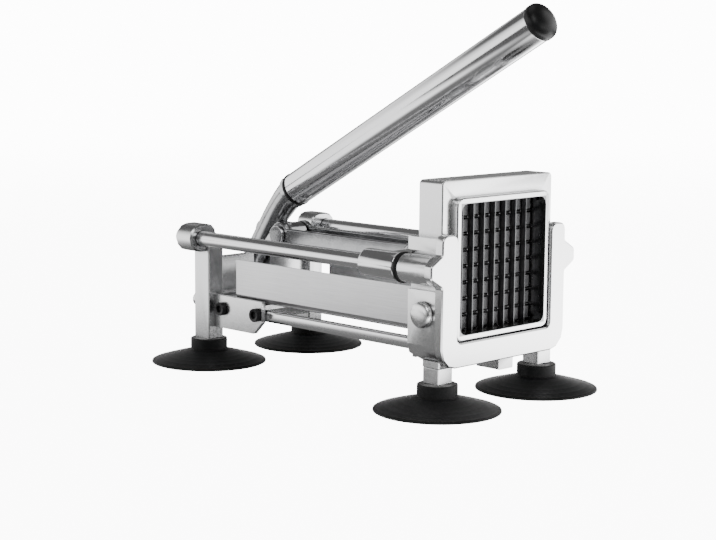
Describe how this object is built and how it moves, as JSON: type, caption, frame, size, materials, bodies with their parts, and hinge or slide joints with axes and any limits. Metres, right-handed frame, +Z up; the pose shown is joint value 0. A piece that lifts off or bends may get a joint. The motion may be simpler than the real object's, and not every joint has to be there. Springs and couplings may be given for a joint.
{
  "type": "french fry cutter",
  "caption": "Lever-operated french fry cutter: a peg block on a sliding carriage presses a potato through a grid of crossed knives; it stands on suction cups.",
  "frame": {"origin": "on the table under the middle of the machine's overall box", "axes": "-Y towards the knife end that the chips leave by, +X across the machine, +Z up"},
  "size_m": [0.1656, 0.2831, 0.2337],
  "materials": {
    "cast_aluminium": "bright cast, lightly polished",
    "polished_steel": "polished stainless",
    "knife_steel": "ground blade",
    "brushed_steel": "satin sheet",
    "rubber": "smooth black rubber",
    "black_plastic": "satin moulded",
    "black_oxide": "black oxide screw"
  },
  "bodies": {
    "frame": {"base_rail_left": "brushed_steel", "base_rail_right": "brushed_steel", "blade_frame": "cast_aluminium", "front_frame": "cast_aluminium", "front_post_left": "polished_steel", "front_post_right": "polished_steel", "knife_level_1": "knife_steel", "knife_level_2": "knife_steel", "knife_level_3": "knife_steel", "knife_level_4": "knife_steel", "knife_level_5": "knife_steel", "knife_level_6": "knife_steel", "knife_level_7": "knife_steel", "knife_upright_1": "knife_steel", "knife_upright_2": "knife_steel", "knife_upright_3": "knife_steel", "knife_upright_4": "knife_steel", "knife_upright_5": "knife_steel", "knife_upright_6": "knife_steel", "knife_upright_7": "knife_steel", "leg_bolt_left": "polished_steel", "leg_bolt_right": "polished_steel", "lock_screw_left": "polished_steel", "lock_screw_right": "polished_steel", "pivot_bolt": "polished_steel", "pivot_nut": "polished_steel", "rail_screw_left_1": "black_oxide", "rail_screw_left_2": "black_oxide", "rail_screw_right_1": "black_oxide", "rail_screw_right_2": "black_oxide", "rear_bracket": "cast_aluminium", "rear_stud_left": "polished_steel", "rear_stud_right": "polished_steel", "rod_bolt_left": "polished_steel", "rod_bolt_right": "polished_steel", "side_rod_left": "polished_steel", "side_rod_right": "polished_steel", "stop_ring_left": "rubber", "stop_ring_right": "rubber", "suction_cup_front_left": "rubber", "suction_cup_front_right": "rubber", "suction_cup_rear_left": "rubber", "suction_cup_rear_right": "rubber", "tray": "brushed_steel", "tray_screw_left": "polished_steel", "tray_screw_right": "polished_steel"},
    "lever": {"lever_arm": "cast_aluminium", "handle_collar": "rubber", "handle_tube": "polished_steel", "handle_cap": "black_plastic", "link_pin_rear": "polished_steel"},
    "link": {"link_bar_left": "polished_steel", "link_bar_right": "polished_steel", "link_pin_front": "polished_steel"},
    "carriage": {"carriage_yoke": "cast_aluminium", "sleeve_left": "polished_steel", "sleeve_right": "polished_steel", "pusher_block": "black_plastic", "pusher_screw_left": "polished_steel", "pusher_screw_right": "polished_steel"}
  },
  "joints": [
    {"name": "lever_swing", "type": "hinge", "parent": "frame", "child": "lever", "pos_m": [0, 0.1171, 0.054], "axis": [-1, 0, 0], "range_deg": [0, 112.6]},
    {"name": "carriage_slide", "type": "slide", "parent": "frame", "child": "carriage", "axis": [0, 1, 0], "range_m": [0, 0.09]},
    {"name": "link_hinge", "type": "hinge", "parent": "lever", "child": "link", "pos_m": [0, 0.0721, 0.084], "axis": [-1, 0, 0], "range_deg": [-112.6, 0]}
  ],
  "couplings": [
    {"joint": "carriage_slide", "follows": "lever_swing", "m_per_rad": 0.045788},
    {"joint": "link_hinge", "follows": "lever_swing", "ratio": -1}
  ]
}
